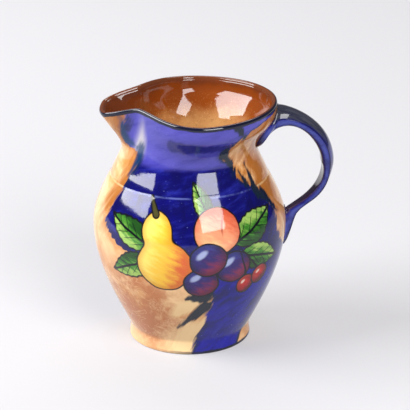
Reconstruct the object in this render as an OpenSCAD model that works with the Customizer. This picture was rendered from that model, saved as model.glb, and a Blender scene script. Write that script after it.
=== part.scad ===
// Glazed earthenware pouring jug: a cast body with a pinched spout, a strap handle
// luted on with slip at both ends, and an amber glaze lining.
// Origin at the centre of the foot on the table, +Z up, handle towards +X, spout towards -X.

/* [Foot] */
// Diameter of the foot at the table
foot_d = 75; // [66:0.5:84]
// Diameter of the waist above the foot
waist_d = 73.4; // [64:0.2:80]
// Height of the waist above the table
waist_z = 8.5; // [6:0.5:12]
// Radius of the rounded edge at the table
foot_edge_r = 1; // [0.6:0.2:1.6]
// Width of the flat ring that the jug stands on
foot_land = 4; // [2.5:0.5:6]
// Depth of the recess under the base
recess_depth = 2.4; // [1.2:0.2:3.6]
// Thickness of the base over the recess
base_t = 4.5; // [3.5:0.5:7]

/* [Body] */
// Diameter of the belly at its widest
belly_d = 117.4; // [104:0.2:132]
// Height of the widest part of the belly
belly_z = 74; // [64:1:82]
// Outward lean of the wall over the waist, in mm for each mm of height
waist_lean = 0.5; // [0.35:0.05:0.65]
// Diameter of the throat, where the neck begins
throat_d = 84.4; // [76:0.2:92]
// Height of the throat
throat_z = 117.6; // [112:0.2:122]
// Lean of the wall at the throat, in mm for each mm of height
throat_lean = -0.42; // [-0.5:0.02:-0.3]
// Diameter of the neck where it turns up into the rim
flare_d = 99.6; // [94:0.2:104]
// Height where the neck turns up into the rim
flare_z = 137.5; // [133:0.5:140]
// Outward lean of the wall there, in mm for each mm of height
flare_lean = 0.85; // [0.6:0.05:1.1]
// Thickness of the fired wall
wall = 3.2; // [2.6:0.1:4.2]
// Radius of the corner between wall and floor inside
floor_corner_r = 9; // [6:0.5:12]
// Height of the fine line moulded round the shoulder
shoulder_line_z = 105.7; // [98:0.1:110]
// Width of the shoulder line
shoulder_line_w = 1.8; // [1.2:0.1:3]
// Depth of the shoulder line
shoulder_line_depth = 0.5; // [0.3:0.1:0.8]

/* [Rim and spout] */
// Diameter of the rim
rim_d = 105.2; // [98:0.2:112]
// Height of the rim
rim_z = 147.8; // [144:0.2:156]
// Outward lean of the wall at the rim, in mm for each mm of height
rim_lean = 0.12; // [0:0.02:0.4]
// How far the rim lifts towards the handle
handle_rise = 1.6; // [0:0.2:3]
// Distance from the axis to the tip of the spout
spout_reach = 53.4; // [48:0.2:60]
// How far the tip of the spout lies below the rim
spout_drop = 3.8; // [0:0.2:5]
// Outward lean of the wall at the tip of the spout
spout_lean = 0.75; // [0.4:0.05:1]
// Angle between the spout and the pinch on each side of it
pinch_angle = 38; // [32:1:46]
// How far each pinch pushes the rim in
pinch_depth = 13.8; // [8:0.2:15]
// How far each pinch lifts the rim
pinch_rise = 3.2; // [0:0.1:5]
// Outward lean of the wall at each pinch
pinch_lean = 0.15; // [0:0.05:0.5]
// Angle over which a pinch runs out towards the tip
pinch_in_angle = 27; // [20:1:32]
// Angle over which a pinch runs out towards the handle
pinch_out_angle = 64; // [50:1:70]

/* [Handle] */
// Distance from the rim down to the top of the upper root
root_below_rim = 6; // [5:0.2:8]
// Height of the upper root on the neck
upper_root_h = 16.4; // [14:0.2:20]
// Clear width between the belly and the bow of the handle
finger_gap = 21.4; // [16:0.2:30]
// Height of the bow, the part furthest out
bow_z = 111.5; // [104:0.5:118]
// Height where the underside of the strap meets the belly
lower_root_z = 79; // [70:0.5:84]
// Length of the tail that runs down the belly
tail_h = 19.5; // [14:0.5:24]
// Distance of the elbow over the tail from the belly
elbow_out = 7.4; // [5:0.1:9]
// Width of the strap at the neck
root_w = 32.4; // [26:0.2:36]
// Width of the strap at the bow
bow_w = 19.8; // [14:0.2:24]
// Width of the strap at the elbow
elbow_w = 9.2; // [8:0.2:14]
// Width of the tail at its end
tail_w = 9.5; // [7:0.5:12]
// Thickness of the strap along its sides
strap_t = 4.6; // [3:0.1:6]
// Rise of the rounded outer face over the sides, from the neck to the bow
outer_crown = 2.7; // [1:0.1:3.4]
// Rise of the outer face at the elbow and along the tail
elbow_crown = 0.5; // [0.4:0.1:2]
// Rise of the rounded inner face over the sides
inner_crown = 0.6; // [0.3:0.1:1.5]
// Width of the slip fillet round each root
lute_w = 2.2; // [1.2:0.1:3.5]

/* [Glaze] */
// Thickness of the glaze lining
glaze_t = 0.5; // [0.3:0.1:1]

/* [Hidden] */

// Facets round the body and round the strap
segments = 72;
strap_sides = 24;
// Rings in each stretch of the wall, from the foot up to the lip and down inside
foot_steps = 2;
belly_steps = 9;
shoulder_steps = 8;
neck_steps = 12;
lip_steps = 5;
cavity_neck_steps = 9;
cavity_shoulder_steps = 5;
cavity_belly_steps = 6;
corner_steps = 4;
// Stations along the three stretches of the strap, and those under a slip fillet
upper_stations = 14;
lower_stations = 12;
tail_stations = 6;
lute_stations = 3;
// Step over which the lean of the wall is measured
lean_step = 0.05;
// Squareness of the slab in the strap's section: 1 is an ellipse, less is squarer
strap_square_w = 0.4;
strap_square_t = 0.55;
// The foot draws in by this much for each mm of height at the table
foot_lean = -0.2;
// Angle from the handle over which the rim's lift runs out
handle_rise_angle = 100;
// Room for the cutter below the base
cut_room = 1;

// Pulls of the curves along the strap's two edges, as [out, up]
outer_root_pull = [1.5, 3.2];
inner_root_pull = [18, 26.4];
outer_bow_rise = 26.4;
inner_bow_rise = 13.3;
outer_bow_fall = 22.1;
inner_bow_fall = 2.2;
outer_elbow_pull = [4.5, 7.8];
inner_elbow_pull = [25, 15.5];
outer_tail_start = [2.4, 2.1];
outer_tail_end = [4, 1.8];
inner_tail_lead = [2.4, 1.6];

foot_r = foot_d / 2;
waist_r = waist_d / 2;
belly_r = belly_d / 2;
throat_r = throat_d / 2;
flare_r = flare_d / 2;
rim_r = rim_d / 2;
floor_z = recess_depth + base_t;
recess_r = foot_r - foot_edge_r - foot_land;
corner_z = floor_z + floor_corner_r;

// Heights of the two ends of the handle
upper_root_z = rim_z - root_below_rim;
tail_z = lower_root_z - tail_h;

// Curves
function hermite(t, from, to, from_slope, to_slope) =
    from * (2 * t ^ 3 - 3 * t ^ 2 + 1) + from_slope * (t ^ 3 - 2 * t ^ 2 + t)
    + to * (3 * t ^ 2 - 2 * t ^ 3) + to_slope * (t ^ 3 - t ^ 2);
function bezier(t, a, b, c, d) =
    a * (1 - t) ^ 3 + b * 3 * t * (1 - t) ^ 2 + c * 3 * t ^ 2 * (1 - t) + d * t ^ 3;
function flatten(lists) = [for (list = lists) each list];
function fade(angle, width) = abs(angle) < width ? cos(90 * angle / width) ^ 2 : 0;

// Rim: a is the angle from the spout, from 0 at its tip to 180 at the handle
function from_spout(theta) = abs(180 - theta);
function tip_share(a) = fade(a, pinch_angle);
function pinch_share(a) = fade(a - pinch_angle, a < pinch_angle ? pinch_in_angle : pinch_out_angle);
function rim_height(a) =
    rim_z - spout_drop * tip_share(a) + pinch_rise * pinch_share(a)
    + handle_rise * fade(180 - a, handle_rise_angle);

// Radius of the outside of the wall at height z
function wall_curve(z, low_z, high_z, low_r, high_r, low_lean, high_lean) =
    let (h = high_z - low_z)
    hermite((z - low_z) / h, low_r, high_r, low_lean * h, high_lean * h);
function round_radius(z) =
    z < waist_z ? wall_curve(z, 0, waist_z, foot_r, waist_r, foot_lean, 0)
    : z < belly_z ? wall_curve(z, waist_z, belly_z, waist_r, belly_r, waist_lean, 0)
    : wall_curve(z, belly_z, throat_z, belly_r, throat_r, 0, throat_lean);
// The neck is a round one, drawn out to the spout's line and in to the pinch's
function neck_radius(a, z) =
    let (
        up = throat_z + (z - throat_z) * (rim_z - throat_z) / (rim_height(a) - throat_z),
        around = up < flare_z
            ? wall_curve(up, throat_z, flare_z, throat_r, flare_r, throat_lean, flare_lean)
            : wall_curve(up, flare_z, rim_z, flare_r, rim_r, flare_lean, rim_lean),
        spout = wall_curve(up, throat_z, rim_z, throat_r, spout_reach, throat_lean, spout_lean),
        pinch = wall_curve(up, throat_z, rim_z, throat_r, rim_r - pinch_depth, throat_lean, pinch_lean)
    )
    around + (spout - around) * tip_share(a) + (pinch - around) * pinch_share(a);
function outer_radius(a, z) = z < throat_z ? round_radius(z) : neck_radius(a, z);
function wall_lean(a, z) =
    (outer_radius(a, z + lean_step) - outer_radius(a, z - lean_step)) / (2 * lean_step);

// A point of the wall, moved in by a depth square to the outside and up along the wall by a rise
function wall_point(theta, z, depth, rise = 0) =
    let (
        a = from_spout(theta),
        lean = wall_lean(a, z),
        slant = sqrt(1 + lean ^ 2),
        r = outer_radius(a, z) + (rise * lean - depth) / slant
    )
    [r * cos(theta), r * sin(theta), z + (depth * lean + rise) / slant];
function ring_angles() = [for (i = [0:segments - 1]) i * 360 / segments];
function round_ring(r, z) = [for (theta = ring_angles()) [r * cos(theta), r * sin(theta), z]];
function wall_ring(z, depth) = [for (theta = ring_angles()) wall_point(theta, z, depth)];
function neck_z(theta, s) = throat_z + s * (rim_height(from_spout(theta)) - throat_z);
function neck_ring(s, depth) = [for (theta = ring_angles()) wall_point(theta, neck_z(theta, s), depth)];
function lip_ring(turn) = [
    for (theta = ring_angles())
        wall_point(theta, neck_z(theta, 1), wall / 2 * (1 - cos(turn)), wall / 2 * sin(turn))
];

// Rings up the outside, over the lip and down the inside
function line_ring(z, depth) = round_ring(round_radius(z) - depth, z);
function shoulder_heights() = [
    for (i = [1:shoulder_steps])
        let (z = belly_z + i * (throat_z - belly_z) / shoulder_steps)
        if (abs(z - shoulder_line_z) > shoulder_line_w) z
];
function foot_rings() = concat(
    [
        round_ring(foot_r - foot_edge_r, 0),
        round_ring(foot_r - foot_edge_r * (1 - cos(45)), foot_edge_r * (1 - sin(45)))
    ],
    [for (i = [0:foot_steps]) wall_ring(foot_edge_r + i * (waist_z - foot_edge_r) / foot_steps, 0)]
);
function outer_rings() = concat(
    foot_rings(),
    [for (i = [1:belly_steps]) wall_ring(waist_z + i * (belly_z - waist_z) / belly_steps, 0)],
    [for (z = shoulder_heights()) if (z < shoulder_line_z) wall_ring(z, 0)],
    [
        line_ring(shoulder_line_z - shoulder_line_w / 2, 0),
        line_ring(shoulder_line_z, shoulder_line_depth),
        line_ring(shoulder_line_z + shoulder_line_w / 2, 0)
    ],
    [for (z = shoulder_heights()) if (z > shoulder_line_z) wall_ring(z, 0)],
    [for (i = [1:neck_steps]) neck_ring(i / neck_steps, 0)],
    [for (i = [1:lip_steps]) lip_ring(180 * i / (lip_steps + 1))]
);
function corner_radius() = round_radius(corner_z) - wall * sqrt(1 + wall_lean(180, corner_z) ^ 2);
function corner_ring(turn, lining) = round_ring(
    corner_radius() - floor_corner_r + (floor_corner_r - lining) * cos(turn),
    corner_z - (floor_corner_r - lining) * sin(turn)
);
function descent(from, to, steps) = [for (i = [0:steps - 1]) from + i * (to - from) / steps];
function cavity_rings(lining) = concat(
    [for (i = [0:cavity_neck_steps - 1]) neck_ring(1 - i / cavity_neck_steps, wall + lining)],
    [for (z = descent(throat_z, belly_z, cavity_shoulder_steps)) wall_ring(z, wall + lining)],
    [for (z = descent(belly_z, corner_z, cavity_belly_steps)) wall_ring(z, wall + lining)],
    [for (i = [0:corner_steps]) corner_ring(90 * i / corner_steps, lining)]
);

// Triangles between rings of equal count, given first to last
function band_faces(rings, count, closed, flip) = [
    for (j = [0:rings - (closed ? 1 : 2)], i = [0:count - 1])
        let (
            k = (i + 1) % count,
            low = j * count,
            high = ((j + 1) % rings) * count
        )
        each flip
            ? [[low + i, high + k, low + k], [low + i, high + i, high + k]]
            : [[low + i, low + k, high + k], [low + i, high + k, high + i]]
];
function cap_faces(ring, centre, count, flip) = [
    for (i = [0:count - 1])
        let (k = (i + 1) % count)
        flip ? [centre, ring * count + k, ring * count + i] : [centre, ring * count + i, ring * count + k]
];
module closed_skin(rings, first_centre, last_centre, flip = false) {
    count = len(rings[0]);
    total = len(rings) * count;
    polyhedron(
        points = concat(flatten(rings), [first_centre, last_centre]),
        faces = concat(
            band_faces(len(rings), count, false, !flip),
            cap_faces(0, total, count, flip),
            cap_faces(len(rings) - 1, total + 1, count, !flip)
        ),
        convexity = 8
    );
}
module closed_loop(rings, flip) {
    polyhedron(
        points = flatten(rings),
        faces = band_faces(len(rings), len(rings[0]), true, flip),
        convexity = 8
    );
}

// Handle: two edges of the strap's side, each in three stretches, as points [x, z]
function on_wall(z) = [outer_radius(180, z), z];
bow_inner = [belly_r + finger_gap, bow_z];
bow_outer = bow_inner + [strap_t, 0];
elbow_outer = on_wall(lower_root_z) + [elbow_out, 0];
elbow_inner = on_wall(lower_root_z) + inner_tail_lead;
outer_root = on_wall(upper_root_z);
inner_root = on_wall(upper_root_z - upper_root_h);
outer_end = on_wall(tail_z);
inner_end = on_wall(lower_root_z);
function stretch(steps, first, from, from_pull, to, to_pull) =
    [for (i = [first:steps]) bezier(i / steps, from, from + from_pull, to + to_pull, to)];
outer_edge = concat(
    stretch(upper_stations, 0, outer_root, outer_root_pull, bow_outer, [0, outer_bow_rise]),
    stretch(lower_stations, 1, bow_outer, [0, -outer_bow_fall], elbow_outer, outer_elbow_pull),
    stretch(tail_stations, 1, elbow_outer, -outer_tail_start, outer_end, outer_tail_end)
);
inner_edge = concat(
    stretch(upper_stations, 0, inner_root, inner_root_pull, bow_inner, [0, inner_bow_rise]),
    stretch(lower_stations, 1, bow_inner, [0, -inner_bow_fall], elbow_inner, inner_elbow_pull),
    stretch(tail_stations, 1, elbow_inner, [0, 0], inner_end, [0, 0])
);
strap_width = concat(
    [for (i = [0:upper_stations]) bow_w + (root_w - bow_w) * (1 - i / upper_stations) ^ 2],
    [for (i = [1:lower_stations]) bow_w + (elbow_w - bow_w) * i / lower_stations],
    [for (i = [1:tail_stations]) elbow_w + (tail_w - elbow_w) * i / tail_stations]
);
last_station = len(outer_edge) - 1;

// Rise of the strap's outer face: even from the neck to the bow, then falling off to the elbow
function past_bow(station) = min(max((station - upper_stations) / lower_stations, 0), 1);
function outer_rise(station) = outer_crown + (elbow_crown - outer_crown) * past_bow(station);

// The strap's section at a station, made larger by a margin; its ends lie on the wall.
// Its outer face is a shallow dome and the rest a rounded slab, with a crease at each side between them.
function squared(value, power) = sign(value) * abs(value) ^ power;
function section_point(station, turn, margin) =
    let (
        inner = inner_edge[station],
        outer = outer_edge[station],
        height = norm(outer - inner),
        domed = sin(turn) >= 0,
        share = domed ? cos(turn) : squared(cos(turn), strap_square_w),
        across = share * (strap_width[station] / 2 + margin),
        along = domed
            ? sin(turn) ^ 2 * (outer_rise(station) + margin)
            : -abs(sin(turn)) ^ strap_square_t * (height + inner_crown + margin),
        spot = outer + (outer - inner) / height * along
    )
    [spot[0], across, spot[1]];
function to_wall(point) =
    let (z = min(point[2], rim_z))
    [sqrt(outer_radius(180, z) ^ 2 - point[1] ^ 2), point[1], z];
function off_wall(point) =
    norm([point[0], point[1]]) < outer_radius(180, point[2]) ? to_wall(point) : point;
function strap_turns() = [for (i = [0:strap_sides - 1]) i * 360 / strap_sides];
function strap_loop(station, margin = 0) = [
    for (turn = strap_turns())
        let (point = section_point(station, turn, margin))
        station == 0 || station == last_station ? to_wall(point) : off_wall(point)
];
function middle(loop) = [for (i = [0:2]) [for (p = loop) p[i]] * [for (p = loop) 1] / len(loop)];
function shrunk_loop(loop, share) =
    let (centre = middle(loop))
    [for (p = loop) to_wall(centre + (p - centre) * share)];

// A slip fillet stands on the wall round a root and hollows up to nothing along the strap
function lute_margin(step) = lute_w * (1 - step / lute_stations) ^ 2;
function lute_loops(root, way) = concat(
    [for (step = [0:lute_stations - 1]) strap_loop(root + way * step, lute_margin(step))],
    [for (step = [lute_stations:-1:0]) strap_loop(root + way * step)]
);

module body() {
    color("mediumblue")
    difference() {
        closed_skin(concat(outer_rings(), cavity_rings(0)), [0, 0, 0], [0, 0, floor_z]);
        rotate_extrude() {
            polygon([
                [0, -cut_room],
                [recess_r, -cut_room],
                [recess_r, recess_depth / 2],
                [recess_r - recess_depth / 2, recess_depth],
                [0, recess_depth]
            ]);
        }
    }
}

module inner_glaze() {
    inside = cavity_rings(glaze_t);
    rings = len(inside);
    color("peru")
    closed_skin(
        concat([for (i = [rings - 1:-1:0]) inside[i]], cavity_rings(0)),
        [0, 0, floor_z + glaze_t],
        [0, 0, floor_z],
        flip = true
    );
}

module handle() {
    first = strap_loop(0);
    last = strap_loop(last_station);
    color("darkblue")
    closed_skin(
        concat(
            [shrunk_loop(first, 1 / 3), shrunk_loop(first, 2 / 3)],
            [for (s = [0:last_station]) strap_loop(s)],
            [shrunk_loop(last, 2 / 3), shrunk_loop(last, 1 / 3)]
        ),
        to_wall(middle(first)),
        to_wall(middle(last))
    );
}

module upper_handle_lute() {
    color("midnightblue")
    closed_loop(lute_loops(0, 1), true);
}

module lower_handle_lute() {
    color("midnightblue")
    closed_loop(lute_loops(last_station, -1), false);
}

body();
inner_glaze();
handle();
upper_handle_lute();
lower_handle_lute();
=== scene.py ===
import math

import bpy
import numpy as np
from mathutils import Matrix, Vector


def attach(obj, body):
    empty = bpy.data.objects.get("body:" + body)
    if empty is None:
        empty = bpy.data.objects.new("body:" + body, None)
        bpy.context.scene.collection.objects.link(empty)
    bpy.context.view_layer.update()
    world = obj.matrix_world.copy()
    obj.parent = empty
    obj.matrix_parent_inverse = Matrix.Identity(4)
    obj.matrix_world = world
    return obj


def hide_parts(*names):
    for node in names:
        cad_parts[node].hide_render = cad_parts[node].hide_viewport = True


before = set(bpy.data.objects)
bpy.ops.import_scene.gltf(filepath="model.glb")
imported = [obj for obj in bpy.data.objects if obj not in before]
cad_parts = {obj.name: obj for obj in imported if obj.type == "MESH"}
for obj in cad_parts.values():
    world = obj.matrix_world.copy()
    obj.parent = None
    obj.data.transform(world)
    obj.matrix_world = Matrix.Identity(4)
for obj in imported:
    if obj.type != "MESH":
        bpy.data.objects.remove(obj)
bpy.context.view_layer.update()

# A glazed earthenware pouring jug: smooth pieces over the solids, with hand-painted finishes.
# Sizes are in millimetres, as the solids have them, and go to metres when a mesh is made.
MM = 0.001

FOOT_R = 37.5
FOOT_EDGE_R = 1.0
FOOT_LAND = 4.0
FOOT_LEAN = -0.2
RECESS_DEPTH = 2.4
BASE_T = 4.5
WAIST_R = 36.7
WAIST_Z = 8.5
WAIST_LEAN = 0.5
BELLY_R = 58.7
BELLY_Z = 74.0
THROAT_R = 42.2
THROAT_Z = 117.6
THROAT_LEAN = -0.42
FLARE_R = 49.8
FLARE_Z = 137.5
FLARE_LEAN = 0.85
WALL = 3.2
CORNER_R = 9.0
LINE_Z = 105.7
LINE_W = 1.8
LINE_DEPTH = 0.35
LINE_EASE_W = 9.0
LINE_EASE_DEPTH = 0.25
RIM_R = 52.6
RIM_Z = 147.8
RIM_LEAN = 0.12
HANDLE_RISE = 1.6
HANDLE_RISE_ANGLE = 100.0
SPOUT_REACH = 53.4
SPOUT_DROP = 3.8
SPOUT_LEAN = 0.75
PINCH_ANGLE = 38.0
PINCH_DEPTH = 13.8
PINCH_RISE = 3.2
PINCH_LEAN = 0.15
PINCH_IN_ANGLE = 27.0
PINCH_OUT_ANGLE = 64.0
GLAZE_T = 0.5
GLAZE_EDGE = 5.0

ROOT_BELOW_RIM = 6.0
UPPER_ROOT_H = 16.4
FINGER_GAP = 21.4
BOW_Z = 111.5
LOWER_ROOT_Z = 79.0
TAIL_H = 19.5
ELBOW_OUT = 7.4
ROOT_W = 32.4
BOW_W = 19.8
ELBOW_W = 9.2
TAIL_W = 9.5
STRAP_T = 4.6
OUTER_CROWN = 2.7
ELBOW_CROWN = 0.5
INNER_CROWN = 0.6
LUTE_W = 2.2
STRAP_SQUARE_W = 0.4
STRAP_SQUARE_T = 0.55

# Pulls of the curves along the strap's two edges, as (out, up)
OUTER_ROOT_PULL = (1.5, 3.2)
INNER_ROOT_PULL = (18.0, 26.4)
OUTER_BOW_RISE = 26.4
INNER_BOW_RISE = 13.3
OUTER_BOW_FALL = 22.1
INNER_BOW_FALL = 2.2
OUTER_ELBOW_PULL = (4.5, 7.8)
INNER_ELBOW_PULL = (25.0, 15.5)
OUTER_TAIL_START = (2.4, 2.1)
OUTER_TAIL_END = (4.0, 1.8)
INNER_TAIL_LEAD = (2.4, 1.6)

# Counts of points round a piece and of steps along it
SEGMENTS = 288
LINING_SEGMENTS = 192
STRAP_SIDES = 72
UPPER_STATIONS = 84
LOWER_STATIONS = 72
TAIL_STATIONS = 36
LUTE_STATIONS = 18

# The height over which a wall's lean is measured
LEAN_STEP = 0.05
# Waves in the wall: depth, how many round the jug, and the height over which each turns by a radian
WALL_WAVES = ((0.09, 2, 31.0), (0.05, 5, -17.0), (0.04, 3, 9.0))
# The handle's angle from the spout, in degrees
HANDLE_SIDE = 180.0

FLOOR_Z = RECESS_DEPTH + BASE_T
CORNER_Z = FLOOR_Z + CORNER_R
RECESS_R = FOOT_R - FOOT_EDGE_R - FOOT_LAND
UPPER_ROOT_Z = RIM_Z - ROOT_BELOW_RIM
TAIL_Z = LOWER_ROOT_Z - TAIL_H
NECK_H = RIM_Z - THROAT_Z


# Curves of the wall: turn is the angle round the axis from the handle, in degrees

def hermite(t, start, end, start_slope, end_slope):
    return (
        start * (2 * t**3 - 3 * t**2 + 1)
        + start_slope * (t**3 - 2 * t**2 + t)
        + end * (3 * t**2 - 2 * t**3)
        + end_slope * (t**3 - t**2)
    )


def fade(angle, width):
    """1 at angle 0, falling smoothly to 0 at the width."""
    return np.cos(math.pi / 2 * np.clip(np.abs(angle) / width, 0, 1)) ** 2


def from_spout(turn):
    return np.abs(HANDLE_SIDE - turn % 360)


def tip_share(a):
    return fade(a, PINCH_ANGLE)


def pinch_share(a):
    return fade(a - PINCH_ANGLE, np.where(a < PINCH_ANGLE, PINCH_IN_ANGLE, PINCH_OUT_ANGLE))


def rim_height(a):
    rise = HANDLE_RISE * fade(HANDLE_SIDE - a, HANDLE_RISE_ANGLE)
    return RIM_Z - SPOUT_DROP * tip_share(a) + PINCH_RISE * pinch_share(a) + rise


def wall_curve(z, low_z, high_z, low_r, high_r, low_lean, high_lean):
    h = high_z - low_z
    return hermite((z - low_z) / h, low_r, high_r, low_lean * h, high_lean * h)


def neck_radius(a, z):
    """Radius of the neck: a round one, drawn out to the spout's line and in to the pinch's."""
    up = THROAT_Z + (z - THROAT_Z) * NECK_H / (rim_height(a) - THROAT_Z)
    flare = wall_curve(up, THROAT_Z, FLARE_Z, THROAT_R, FLARE_R, THROAT_LEAN, FLARE_LEAN)
    collar = wall_curve(up, FLARE_Z, RIM_Z, FLARE_R, RIM_R, FLARE_LEAN, RIM_LEAN)
    around = np.where(up < FLARE_Z, flare, collar)
    spout = wall_curve(up, THROAT_Z, RIM_Z, THROAT_R, SPOUT_REACH, THROAT_LEAN, SPOUT_LEAN)
    pinch = wall_curve(up, THROAT_Z, RIM_Z, THROAT_R, RIM_R - PINCH_DEPTH, THROAT_LEAN, PINCH_LEAN)
    return around + (spout - around) * tip_share(a) + (pinch - around) * pinch_share(a)


def outer_radius(a, z):
    """Radius of the outside of the wall, at an angle from the spout and a height."""
    foot = wall_curve(z, 0, WAIST_Z, FOOT_R, WAIST_R, FOOT_LEAN, 0)
    belly = wall_curve(z, WAIST_Z, BELLY_Z, WAIST_R, BELLY_R, WAIST_LEAN, 0)
    shoulder = wall_curve(z, BELLY_Z, THROAT_Z, BELLY_R, THROAT_R, 0, THROAT_LEAN)
    upper = np.where(z < THROAT_Z, shoulder, neck_radius(a, z))
    return np.where(z < WAIST_Z, foot, np.where(z < BELLY_Z, belly, upper))


def wall_lean(a, z):
    return (outer_radius(a, z + LEAN_STEP) - outer_radius(a, z - LEAN_STEP)) / (2 * LEAN_STEP)


def line_dip(z):
    """Depth of the fine moulded line round the shoulder, with its eased edges."""
    off = z - LINE_Z
    return LINE_DEPTH * fade(off, LINE_W / 2) + LINE_EASE_DEPTH * fade(off, LINE_EASE_W / 2)


def hand_wave(turn, z):
    """The slight unevenness of a cast and fired wall."""
    t = np.radians(turn)
    return sum(depth * np.sin(count * t + z / climb) for depth, count, climb in WALL_WAVES)


def on_circle(turn, r, z):
    t = np.radians(turn)
    return np.stack([r * np.cos(t), r * np.sin(t), z + 0 * t], axis=-1)


def wall_point(turn, z, depth, rise=0.0):
    """A point of the wall, moved in square to the outside by a depth and up along it by a rise."""
    a = from_spout(turn)
    lean = wall_lean(a, z)
    slant = np.sqrt(1 + lean**2)
    r = outer_radius(a, z) + (rise * lean - depth) / slant
    return on_circle(turn, r, z + (depth * lean + rise) / slant)


def turns(count):
    return np.arange(count) * 360 / count


def neck_z(turn, share):
    return THROAT_Z + share * (rim_height(from_spout(turn)) - THROAT_Z)


# Meshes from rings of points

def ring_quads(rings, count, closed):
    """Corner numbers of the quads between rings that are given first to last."""
    low = np.arange(rings if closed else rings - 1)[:, None]
    i = np.arange(count)[None, :]
    k = (i + 1) % count
    high = (low + 1) % rings
    corners = [low * count + i, low * count + k, high * count + k, high * count + i]
    return np.stack(corners, axis=-1).reshape(-1, 4)


def make_piece(name, rings, marks, closed=False, flip=False):
    """A smooth mesh through rings of points in millimetres; marks are values at each point, by name."""
    count = len(rings[0])
    points = np.concatenate(rings)
    faces = ring_quads(len(rings), count, closed).tolist()
    if not closed:
        first, last = len(points), len(points) + 1
        points = np.concatenate([points, rings[0].mean(0)[None], rings[-1].mean(0)[None]])
        base = (len(rings) - 1) * count
        faces += [(first, (i + 1) % count, i) for i in range(count)]
        faces += [(last, base + i, base + (i + 1) % count) for i in range(count)]
    if flip:
        faces = [tuple(reversed(face)) for face in faces]
    mesh = bpy.data.meshes.new(name)
    mesh.from_pydata((points * MM).tolist(), [], faces)
    mesh.polygons.foreach_set("use_smooth", np.ones(len(mesh.polygons), dtype=bool))
    for mark, values in marks.items():
        middles = [values[:count].mean(), values[-count:].mean()][: len(points) - len(values)]
        spread = np.append(values, middles).astype(np.float32)
        mesh.attributes.new(mark, "FLOAT", "POINT").data.foreach_set("value", spread)
    mesh.update()
    piece = bpy.data.objects.new(name, mesh)
    bpy.context.scene.collection.objects.link(piece)
    return piece


def dress(piece, node, material):
    """The piece stands for a node of the frame and takes a finish."""
    piece.data.materials.append(material)
    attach(piece, "root")
    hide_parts(node)


# Body

UNDER_RADII = (8.0, 16.0, 24.0, 29.0)
FOOT_EDGE_STEPS = 6
RECESS_STEPS = 8
OUTER_STEP = 1.1
NECK_STEPS = 36
LIP_STEPS = 16
INSIDE_STEPS = 24
CORNER_STEPS = 10
# How the recess's edge runs out to the foot ring: a small flare, and the power of its curve
RECESS_FLARE = 0.2
RECESS_POWER = 1.6
# What a point of the underside has on top of the rim's height, to tell it from the outside
UNDER_MARK = 99.0
# Shares of the flat layout's height
UNDER_ROWS = (0.01, 0.09)
OUTSIDE_ROWS = (0.1, 0.88)
LIP_ROWS = (0.885, 0.93)
INSIDE_ROWS = (0.94, 0.99)


def inside_corner_radius():
    a = np.array(HANDLE_SIDE)
    lean = wall_lean(a, CORNER_Z)
    return float(outer_radius(a, CORNER_Z) - WALL * np.sqrt(1 + lean**2))


def corner_ring(turn, angle, lining):
    """A ring of the round corner between wall and floor, inside a lining."""
    r = inside_corner_radius() - CORNER_R + (CORNER_R - lining) * math.cos(angle)
    return on_circle(turn, r, CORNER_Z - (CORNER_R - lining) * math.sin(angle))


def underside_rings(turn):
    """From the middle of the recess to the outer edge of the foot ring."""
    rings = [on_circle(turn, r, RECESS_DEPTH) for r in UNDER_RADII]
    half = RECESS_DEPTH / 2
    for i in range(RECESS_STEPS + 1):
        t = i / RECESS_STEPS
        r = RECESS_R - half * math.cos(math.pi / 2 * t)
        r += RECESS_FLARE * half * t**3
        rings.append(on_circle(turn, r, RECESS_DEPTH * (1 - t**RECESS_POWER)))
    rings.append(on_circle(turn, RECESS_R + FOOT_LAND / 2, 0.0))
    for i in range(FOOT_EDGE_STEPS + 1):
        share = i / FOOT_EDGE_STEPS
        t = math.pi / 2 * share
        r = FOOT_R - FOOT_EDGE_R * (1 - math.sin(t)) + FOOT_LEAN * FOOT_EDGE_R * share
        rings.append(on_circle(turn, r, FOOT_EDGE_R * (1 - math.cos(t))))
    return rings


def outside_rings(turn):
    """Up the outside from the foot's edge to the lip, each with its distance below the rim."""
    a = from_spout(turn)
    rings, below = [], []
    for z in np.arange(FOOT_EDGE_R + OUTER_STEP, THROAT_Z, OUTER_STEP):
        dip = line_dip(z) - hand_wave(turn, z)
        rings.append(wall_point(turn, z, dip))
        below.append(np.full(len(turn), RIM_Z - z))
    for i in range(NECK_STEPS + 1):
        share = i / NECK_STEPS
        z = neck_z(turn, share)
        calm = 1 - share**2
        rings.append(wall_point(turn, z, -hand_wave(turn, z) * calm))
        below.append((rim_height(a) - z) * np.sqrt(1 + wall_lean(a, z) ** 2))
    return rings, below


def lip_rings(turn):
    """Over the rounded lip, from the outside to the inside."""
    rings = []
    for i in range(1, LIP_STEPS):
        angle = math.pi * i / LIP_STEPS
        depth = WALL / 2 * (1 - math.cos(angle))
        rings.append(wall_point(turn, neck_z(turn, 1.0), depth, WALL / 2 * math.sin(angle)))
    return rings


def inside_rings(turn, depth, steps, lining):
    """Down the inside from the lip to the floor."""
    rings = [wall_point(turn, neck_z(turn, 1 - i / steps), depth(i / steps)) for i in range(steps)]
    heights = np.linspace(THROAT_Z, CORNER_Z, 2 * steps)
    rings += [wall_point(turn, z + 0 * turn, depth(1.0)) for z in heights[:-1]]
    rings += [corner_ring(turn, math.pi / 2 * i / CORNER_STEPS, lining) for i in range(CORNER_STEPS + 1)]
    return rings


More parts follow.
